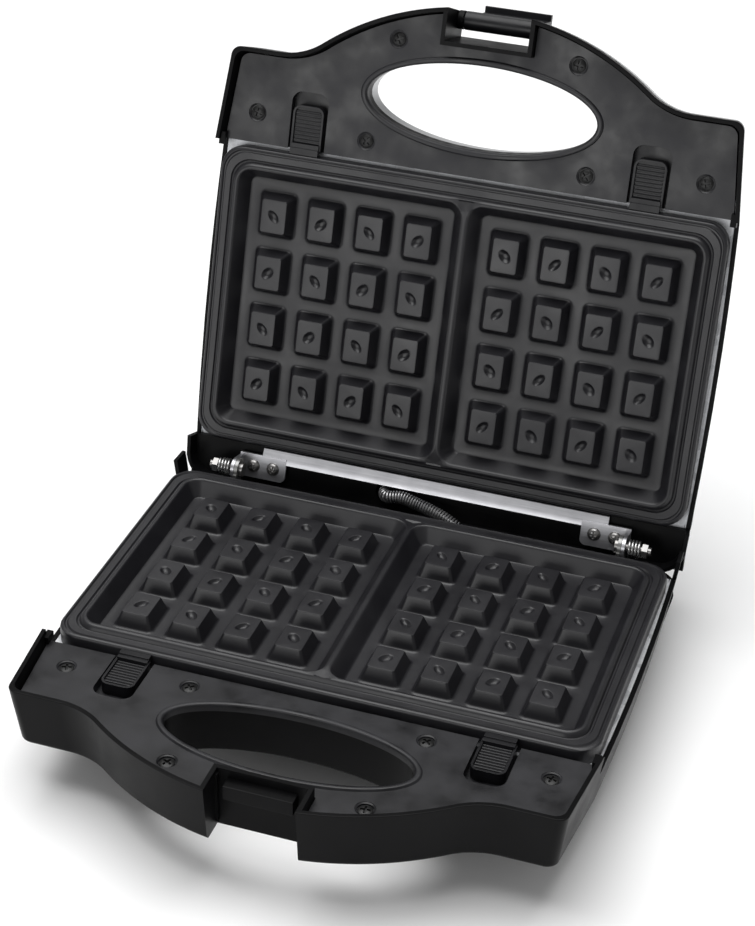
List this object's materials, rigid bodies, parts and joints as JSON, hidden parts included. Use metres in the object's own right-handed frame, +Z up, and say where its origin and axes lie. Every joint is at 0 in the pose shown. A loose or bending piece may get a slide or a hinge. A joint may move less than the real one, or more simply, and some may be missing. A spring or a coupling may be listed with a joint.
{
  "type": "waffle maker",
  "caption": "Electric waffle maker, open: hinged lid and base with removable pegged plates, handle with finger hole and flip latch, sliding plate releases.",
  "frame": {"origin": "on the table, under the middle of the open waffle maker's box", "axes": "+Z up, +X along the hinge to the right as seen from the handle, -Y towards the handle side"},
  "size_m": [0.2324, 0.3296, 0.2515],
  "materials": {
    "black_housing": "fine satin texture",
    "silver_housing": "silver paint-like satin",
    "dark_cover": "mottled satin",
    "button_plastic": "smooth satin",
    "nonstick_casting": "non-stick coating, satin",
    "tray_steel": "galvanised sheet",
    "bar_steel": "bright pressed sheet",
    "hinge_steel": "zinc plated",
    "element_sheath": "heat-dulled",
    "bright_fixings": "zinc plated",
    "black_screws": "blackened",
    "spring_wire": "drawn wire",
    "conduit_steel": "wound wire",
    "control_metal": "plain",
    "ceramic": "fired ceramic",
    "lead_sleeving": "woven glass sleeving",
    "foot_rubber": "moulded",
    "red_lens": "clear moulded",
    "green_lens": "clear moulded"
  },
  "bodies": {
    "base": {"base_shell": "black_housing", "base_handle_cover": "dark_cover", "base_cover_screws": "black_screws", "base_reflector_tray": "tray_steel", "base_heating_element": "element_sheath", "base_element_clips": "tray_steel", "lower_plate": "nonstick_casting", "hinge_brackets": "hinge_steel", "hinge_bracket_screws": "bright_fixings", "hinge_pins": "bright_fixings", "hinge_spring_left": "spring_wire", "hinge_spring_right": "spring_wire", "hinge_pin_nuts": "bright_fixings", "rubber_feet": "foot_rubber", "foot_screws": "bright_fixings", "thermostat": "control_metal", "thermal_fuse": "control_metal", "terminal_block": "ceramic", "cord_bush": "foot_rubber", "supply_leads": "lead_sleeving", "base_button_spring_left": "spring_wire", "base_button_spring_right": "spring_wire", "lead_conduit": "conduit_steel"},
    "lid": {"lid_frame": "black_housing", "lid_shell": "silver_housing", "lid_handle_cover": "dark_cover", "lid_cover_screws": "black_screws", "lid_reflector_tray": "tray_steel", "lid_heating_element": "element_sheath", "lid_element_clips": "tray_steel", "upper_plate": "nonstick_casting", "hinge_bar": "bar_steel", "hinge_bar_screws": "bright_fixings", "power_lamp": "red_lens", "ready_lamp": "green_lens", "lid_button_spring_left": "spring_wire", "lid_button_spring_right": "spring_wire", "latch_pin": "bright_fixings"},
    "latch": {"latch_clasp": "button_plastic"},
    "base_button_left": {"base_button_left": "button_plastic"},
    "base_button_right": {"base_button_right": "button_plastic"},
    "lid_button_left": {"lid_button_left": "button_plastic"},
    "lid_button_right": {"lid_button_right": "button_plastic"}
  },
  "joints": [
    {"name": "lid_hinge", "type": "hinge", "parent": "base", "child": "lid", "pos_m": [0, 0.05109, 0.04574], "axis": [1, 0, 0], "range_deg": [0, 106], "deforming": ["lead_conduit"]},
    {"name": "latch_flip", "type": "hinge", "parent": "lid", "child": "latch", "pos_m": [0, 0.13202, 0.23996], "axis": [1, 0, 0], "range_deg": [0, 180]},
    {"name": "base_button_left_slide", "type": "slide", "parent": "base", "child": "base_button_left", "axis": [0, -1, 0], "range_m": [0, 0.0045], "stiffness_N_per_m": 300, "springref_m": -0.002, "deforming": ["base_button_spring_left"]},
    {"name": "base_button_right_slide", "type": "slide", "parent": "base", "child": "base_button_right", "axis": [0, -1, 0], "range_m": [0, 0.0045], "stiffness_N_per_m": 300, "springref_m": -0.002, "deforming": ["base_button_spring_right"]},
    {"name": "lid_button_left_slide", "type": "slide", "parent": "lid", "child": "lid_button_left", "axis": [0, 0.2756, 0.9613], "range_m": [0, 0.0045], "stiffness_N_per_m": 300, "springref_m": -0.002, "deforming": ["lid_button_spring_left"]},
    {"name": "lid_button_right_slide", "type": "slide", "parent": "lid", "child": "lid_button_right", "axis": [0, 0.2756, 0.9613], "range_m": [0, 0.0045], "stiffness_N_per_m": 300, "springref_m": -0.002, "deforming": ["lid_button_spring_right"]}
  ]
}
